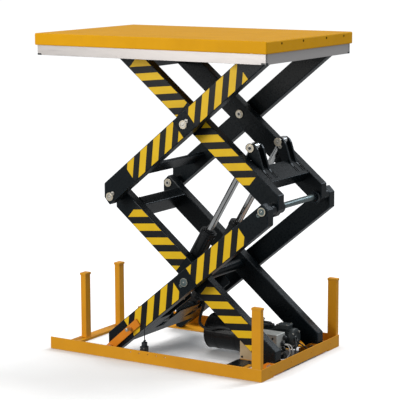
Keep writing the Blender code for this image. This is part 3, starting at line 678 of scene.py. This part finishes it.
FINS, MOTOR_R = 30, 0.0515
bm = bmesh.new()
rings = []
for x in (0.3555, 0.5160):
    verts = []
    for i in range(FINS * 4):
        a = 2 * math.pi * i / (FINS * 4)
        radius = MOTOR_R if i % 4 in (0, 1) else MOTOR_R - 0.0075
        verts.append(bm.verts.new((x, 0.083 + radius * math.cos(a), 0.095 + radius * math.sin(a))))
    rings.append(verts)
for i in range(FINS * 4):
    j = (i + 1) % (FINS * 4)
    bm.faces.new((rings[0][i], rings[0][j], rings[1][j], rings[1][i]))
bm.faces.new(rings[0])
bm.faces.new(reversed(rings[1]))
bmesh.ops.recalc_face_normals(bm, faces=bm.faces)
motor = put("motor_body", bm, CAST, "base")
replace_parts(motor, "pump_motor")
bell = lathe([(0, 0.0480), (0.0, 0.0515), (0.0035, 0.0520), (0.0130, 0.0520), (0.0175, 0.0500),
              (0.0195, 0.0455),
              (0.0200, 0.0360), (0.0185, 0.0340), (0.0185, 0.0150), (0.0215, 0.0130), (0.0215, 0.0020)],
             (0.5120, 0.083, 0.095), "x", 64)
put("motor_end_bell", bell, CAST, "base", 30)
front = lathe([(0, 0.040), (0.0, 0.0500), (0.0015, 0.0515), (0.0110, 0.0515), (0.0120, 0.0500)],
              (0.3455, 0.083, 0.095), "x", 64)
put("motor_flange", front, CAST, "base", 30)
for k in range(4):
    a = math.pi / 4 + k * math.pi / 2
    screw = lathe([(0, 0.0048), (0.0040, 0.0048), (0.0050, 0.0038)],
                  (0.5305, 0.083 + 0.043 * math.cos(a), 0.095 + 0.043 * math.sin(a)), "x", 6)
    put(f"motor_screw_{k}", screw, ZINC, "base")
put("motor_terminal_box", block((0.4400, 0.0500, 0.1420), (0.5000, 0.1050, 0.1610), 0.003, 3), CAST,
    "base")
put("terminal_lid", block((0.4380, 0.0480, 0.1545), (0.5020, 0.1070, 0.1640), 0.0025, 3), CAST, "base")
put("motor_foot", block((0.3700, 0.0480, 0.0083), (0.4500, 0.1180, 0.0480), 0.002), CAST, "base")
for k, (x, y) in enumerate(((0.446, 0.056), (0.494, 0.056), (0.446, 0.099), (0.494, 0.099))):
    screw = lathe([(0, 0.0030), (0.0014, 0.0030), (0.0020, 0.0022)], (x, y, 0.1640), "z", 16)
    put(f"terminal_screw_{k}", screw, ZINC, "base", 30)
spool = lathe([(0, 0.0135), (0.002, 0.0150), (0.050, 0.0150), (0.052, 0.0135), (0.052, 0.0090),
               (0.068, 0.0090), (0.070, 0.0070)],
              (0.352, 0.058, 0.1560), "x", 32)
put("solenoid_coil", spool, NYLON, "base", 30)
knob = lathe([(0, 0.0050), (0.008, 0.0050), (0.0085, 0.0085), (0.015, 0.0085), (0.0165, 0.0070)],
             (0.362, 0.058, 0.1700), "z", 24)
put("solenoid_knob", knob, ZINC, "base", 30)

manifold = block((0.3304, -0.0540, 0.0300), (0.5000, 0.0300, 0.1370), 0.0035, 3)
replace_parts(put("manifold_block", manifold, MANIFOLD, "base"), "valve_block")
put("manifold_base", block((0.3350, -0.0500, 0.0083), (0.4900, 0.0280, 0.0298), 0.0015), TANK_BLACK,
    "base")
flange = lathe([(0, 0.0260), (0.0, 0.0280), (0.0100, 0.0280)], (0.3203, -0.012, 0.085), "x", 40)
put("pump_flange", flange, CAST, "base", 30)
for k, (x, z) in enumerate(((0.4780, 0.1180), (0.4250, 0.1180), (0.4520, 0.0620))):
    bolt = lathe([(-0.0030, 0.0030), (-0.0030, 0.0052), (0.0005, 0.0052)], (x, -0.0545, z), "y", 20)
    put(f"manifold_plug_{k}", bolt, NYLON, "base", 30)
GLANDS = ((0.0150, 0.1120), (-0.0050, 0.0860), (0.0030, 0.0580), (-0.0320, 0.0580))
for k, (y, z) in enumerate(GLANDS):
    nut = lathe([(0, 0.0125), (0.0060, 0.0125), (0.0068, 0.0115)], (0.5002, y, z), "x", 6)
    put(f"cable_gland_nut_{k}", nut, NYLON, "base")
    dome = lathe([(0, 0.0105), (0.0060, 0.0105), (0.0100, 0.0080), (0.0115, 0.0055)], (0.5070, y, z), "x",
                 32)
    put(f"cable_gland_cap_{k}", dome, NYLON, "base", 30)
# Leads, each held at both ends: name, radius, sides, finish, slot and route
LEAD_MAIN = [(0.5170, -0.005, 0.086), (0.545, 0.000, 0.082), (0.562, -0.002, 0.055), (0.560, -0.010, 0.030),
             (0.548, -0.045, 0.016), (0.538, -0.085, 0.030), (0.532, -0.105, 0.060)]
LEADS = (
    ("control_lead_a", 0.0030, 14, CABLE, "white_cable", LEAD_MAIN),
    ("control_lead_b", 0.0026, 14, CABLE, "white_cable",
     [(0.5170, -0.008, 0.084), (0.538, -0.008, 0.080), (0.550, -0.012, 0.058), (0.549, -0.020, 0.036),
      (0.540, -0.048, 0.022), (0.530, -0.088, 0.034), (0.524, -0.105, 0.058)]),
    ("earth_lead_a", 0.0022, 12, TAN, "white_cable",
     [(0.5180, 0.003, 0.058), (0.535, 0.006, 0.054), (0.543, 0.010, 0.036), (0.540, 0.014, 0.020),
      (0.532, 0.018, 0.0125)]),
    ("supply_lead_a", 0.0034, 12, RUBBER, "black_rubber",
     [(0.5180, -0.032, 0.058), (0.535, -0.034, 0.052), (0.544, -0.036, 0.034), (0.540, -0.038, 0.018),
      (0.532, -0.040, 0.0125)]),
    ("supply_lead_b", 0.0034, 12, RUBBER, "black_rubber",
     [(0.5350, 0.083, 0.098), (0.548, 0.070, 0.099), (0.556, 0.055, 0.090), (0.575, 0.080, 0.066),
      (0.592, 0.105, 0.040), (0.600, 0.118, 0.010)]),
    ("supply_lead_c", 0.0034, 12, RUBBER, "black_rubber",
     [(0.5350, 0.070, 0.100), (0.560, 0.030, 0.092), (0.576, 0.000, 0.066), (0.588, -0.024, 0.034),
      (0.592, -0.028, 0.0125)]),
)
for name, radius, sides, look, slot, route in LEADS:
    lead = put(name, sweep(smooth_path(route, 12), radius, sides), look, "base", 60)
    if route is LEAD_MAIN:
        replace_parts(lead, "control_leads")

put("power_unit_plate", block((0.4120, -0.1650, 0.0083), (0.6040, 0.1700, 0.0113), 0.0008), TANK_BLACK,
    "base")
put("cover_plate", block((0.3215, -0.1000, 0.0085), (0.4050, -0.0965, 0.1020), 0.0008), TAN, "base")
put("cover_plate_foot", block((0.3215, -0.0964, 0.0085), (0.4050, -0.0545, 0.0115), 0.0008), TAN, "base")
bolt = lathe([(-0.0045, 0.0045), (-0.0035, 0.0055), (0.0, 0.0055)], (0.3340, -0.1001, 0.0200), "y", 6)
put("cover_plate_bolt", bolt, NYLON, "base")
put("power_bar_plate", block((0.3240, -0.2400, 0.0083), (0.4100, -0.1180, 0.0112), 0.0008), BLACK, "base")
for k, (x, y) in enumerate(((0.340, -0.222), (0.394, -0.222), (0.340, -0.136), (0.394, -0.136))):
    bolt = lathe([(0, 0.0070), (0.0042, 0.0070), (0.0050, 0.0060)], (x, y, 0.0113), "z", 6)
    put(f"power_bar_bolt_{k}", bolt, NYLON, "base")

# Hydraulic hose, a fixed curved tube from the base up to the lower inner arms ------

HOSE = [(0.350, -0.0615, 0.115), (0.348, -0.085, 0.120), (0.325, -0.104, 0.138), (0.270, -0.108, 0.150)]
HOSE += [(0.212, -0.105, 0.152), (0.145, -0.100, 0.134), (0.100, -0.098, 0.146)]
HOSE += [(0.088, -0.095, 0.175), (0.105, -0.090, 0.240), (0.125, -0.080, 0.330), (0.128, -0.070, 0.390)]
mesh = bpy.data.meshes.new("hose")
bm = sweep(smooth_path(HOSE, 14), 0.0070, 18)
bm.to_mesh(mesh)
bm.free()
hose = bpy.data.objects.new("hose", mesh)
mesh.materials.append(RUBBER)
mesh.shade_smooth()
mesh.set_sharp_from_angle(angle=math.radians(60))
bpy.context.scene.collection.objects.link(hose)
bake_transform(hose)
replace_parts(hose, "hydraulic_hose")
ferrule = lathe([(0, 0.0098), (0.001, 0.0105), (0.004, 0.0105), (0.005, 0.0094), (0.007, 0.0094),
                 (0.008, 0.0105),
                 (0.020, 0.0105), (0.021, 0.0095)], (0.350, -0.0755, 0.1165), "y", 28)
put("hose_ferrule", ferrule, ZINC, "base", 30)

# Limit switch ----------------------------------------------------------------------

housing = block((-0.0780, -0.3810, 0.0063), (-0.0460, -0.3490, 0.0790), 0.003, 3)
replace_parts(put("switch_housing", housing, NYLON, "base"), "limit_switch")
put("switch_lid", block((-0.0755, -0.3828, 0.0120), (-0.0485, -0.3812, 0.0740), 0.0008), NYLON, "base")
head = block((-0.0715, -0.3755, 0.0792), (-0.0505, -0.3535, 0.0990), 0.0025, 3)
put("switch_head", head, NYLON, "base")
for k, (x, z) in enumerate(((-0.0725, 0.016), (-0.0515, 0.016), (-0.0725, 0.070), (-0.0515, 0.070))):
    screw = lathe([(-0.0012, 0.0014), (-0.0010, 0.0019), (0.0, 0.0019)], (x, -0.3829, z), "y", 14)
    put(f"switch_screw_{k}", screw, ZINC, "base", 30)
entry = lathe([(0, 0.0085), (0.008, 0.0085), (0.010, 0.0060)], (-0.0458, -0.365, 0.024), "x", 6)
put("switch_entry", entry, NYLON, "base")

# Service prop: grey grip and pivot screw ---------------------------------------------

PROP = math.radians(41)
prop_x, prop_z = ROLLER_X + 0.160 * math.cos(PROP), HINGE_Z + 0.010 + 0.160 * math.sin(PROP)
grip = lathe([(0, 0.0060), (0.0015, 0.0085), (0.030, 0.0085), (0.031, 0.0074), (0.033, 0.0074)],
             (prop_x, -0.3832, prop_z), "y", 24)
put("prop_grip", grip, ZINC, "service_prop", 30)
screw = lathe([(-0.0040, 0.0070), (-0.0032, 0.0082), (0.0, 0.0082)], (ROLLER_X, -0.3522, HINGE_Z + 0.010),
              "y", 6)
put("prop_screw", screw, ZINC, "service_prop")

# Platform skirt screws and base screws ---------------------------------------------

for k, y in enumerate((-0.285, -0.080, 0.150, 0.330)):
    for word, side in (("left", -1), ("right", 1)):
        x = side * 0.6500
        profile = [(0.0, 0.0052), (0.0, 0.0058), (0.0004, 0.0062)] if side < 0 else \
                  [(-0.0004, 0.0062), (0.0, 0.0058), (0.0, 0.0052)]
        screw = lathe(profile, (x, y, DECK_Z - 0.0155), "x", 20)
        put(f"skirt_screw_{word}_{k}", screw, NYLON, "platform", 30)
for k, y in enumerate((-0.300, -0.100, 0.100, 0.300)):
    screw = lathe([(-0.0002, 0.0045), (0.0014, 0.0040), (0.0016, 0.0020)], (0.6102, y, 0.036), "x", 18)
    put(f"end_beam_screw_{k}", screw, YELLOW, "base", 30)

# Weld fillets at the posts' feet ----------------------------------------------------

for word, side in SIDES:
    for k, x in enumerate((-0.5815, -0.5485)):
        weld_bead(f"weld_post_left_{k}_{word}", (x, side * 0.131, 0.0140), (x, side * 0.171, 0.0140),
                  0.0022, "base", YELLOW)


# Camera, light and floor ---------------------------------------------------------

def look_from(azimuth, elevation, target, distance, lens, roll):
    """A camera whose azimuth 0 looks along +Y and 90 along -X."""
    az, el = math.radians(azimuth), math.radians(elevation)
    view = Vector((-math.sin(az) * math.cos(el), math.cos(az) * math.cos(el), -math.sin(el)))
    right = Vector((math.cos(az), math.sin(az), 0))
    up = right.cross(view)
    spin = math.radians(roll)
    across = right * math.cos(spin) + up * math.sin(spin)
    above = up * math.cos(spin) - right * math.sin(spin)
    place = Vector(target) - view * distance
    data = bpy.data.cameras.new("camera")
    data.lens = lens
    data.sensor_width = 36
    data.clip_end = 60
    camera = bpy.data.objects.new("camera", data)
    matrix = Matrix((across, above, -view)).transposed().to_4x4()
    matrix.translation = place
    camera.matrix_world = matrix
    bpy.context.scene.collection.objects.link(camera)
    bpy.context.scene.camera = camera
    return camera


look_from(32.0323, 9.427, (0.0322, 0.0, 0.7537), 7.9713, 144.96, -0.1989)


def area_light(name, place, aim, size, power, colour=(1, 1, 1), size_y=None):
    data = bpy.data.lights.new(name, "AREA")
    data.energy = power
    data.color = colour
    data.size = size
    if size_y:
        data.shape = "RECTANGLE"
        data.size_y = size_y
    light = bpy.data.objects.new(name, data)
    light.location = place
    light.rotation_euler = (Vector(aim) - Vector(place)).to_track_quat("-Z", "Y").to_euler()
    bpy.context.scene.collection.objects.link(light)


area_light("key", (-2.0, -5.2, 2.6), (0, 0, 0.7), 2.4, 205, (1.0, 0.985, 0.96))
area_light("fill", (4.8, -1.6, 2.6), (0, 0, 0.8), 2.6, 14, (0.88, 0.94, 1.0))
area_light("rim", (2.6, 4.4, 3.6), (0, 0, 0.9), 1.6, 60, (0.80, 0.90, 1.0))

sun = bpy.data.lights.new("overhead", "SUN")
sun.energy = 1.9
sun.angle = math.radians(28)
sun_object = bpy.data.objects.new("overhead", sun)
sun_object.rotation_euler = (math.radians(-30), math.radians(10), 0)
bpy.context.scene.collection.objects.link(sun_object)

# The backdrop is white, and the light that it sends is softer
world = bpy.data.worlds.new("studio")
world.use_nodes = True
tree = world.node_tree
tree.nodes.clear()
seen = node(tree, "ShaderNodeBackground", Color=(1, 1, 1, 1), Strength=1.0)
cast = node(tree, "ShaderNodeBackground", Color=(0.95, 0.975, 1.0, 1), Strength=0.34)
rays = node(tree, "ShaderNodeLightPath")
pick = node(tree, "ShaderNodeMixShader")
output = node(tree, "ShaderNodeOutputWorld")
tree.links.new(rays.outputs["Is Camera Ray"], pick.inputs["Fac"])
tree.links.new(cast.outputs["Background"], pick.inputs[1])
tree.links.new(seen.outputs["Background"], pick.inputs[2])
tree.links.new(pick.outputs["Shader"], output.inputs["Surface"])
bpy.context.scene.world = world
bpy.context.scene.view_settings.view_transform = "Standard"
bpy.context.scene.view_settings.look = "None"

bm = bmesh.new()
bmesh.ops.create_grid(bm, x_segments=1, y_segments=1, size=40)
bmesh.ops.translate(bm, vec=(0, 0, -0.0008), verts=bm.verts)
floor_mesh = bpy.data.meshes.new("floor")
bm.to_mesh(floor_mesh)
bm.free()
floor = bpy.data.objects.new("floor", floor_mesh)
bpy.context.scene.collection.objects.link(floor)
floor_look = surface("studio_floor", (0.82, 0.82, 0.82), (0.81, 0.81, 0.81), (0.75, 0.85), bump=0.01,
                     specular=0.05)
floor_shader = floor_look.node_tree.nodes["Principled BSDF"]
# Ambient occlusion dims the floor's glow near the frame: a painted contact shadow.
near = node(floor_look.node_tree, "ShaderNodeAmbientOcclusion", samples=16, Distance=0.22)
painted_shadow_amount = node(floor_look.node_tree, "ShaderNodeMapRange")
painted_shadow_amount.inputs["From Min"].default_value = 0.45
painted_shadow_amount.inputs["From Max"].default_value = 1.0
painted_shadow_amount.inputs["To Min"].default_value = 0.0
painted_shadow_amount.inputs["To Max"].default_value = 1.0
floor_look.node_tree.links.new(near.outputs["AO"], painted_shadow_amount.inputs["Value"])
painted_shadow_glow = blend_colours(floor_look.node_tree, painted_shadow_amount.outputs["Result"], (0.0, 0.0, 0.0), (1.0, 1.0, 1.0))
floor_look.node_tree.links.new(painted_shadow_glow, floor_shader.inputs["Emission Color"])
floor_shader.inputs["Emission Strength"].default_value = 0.36
floor_mesh.materials.append(floor_look)
floor.visible_diffuse = False
floor.visible_glossy = False
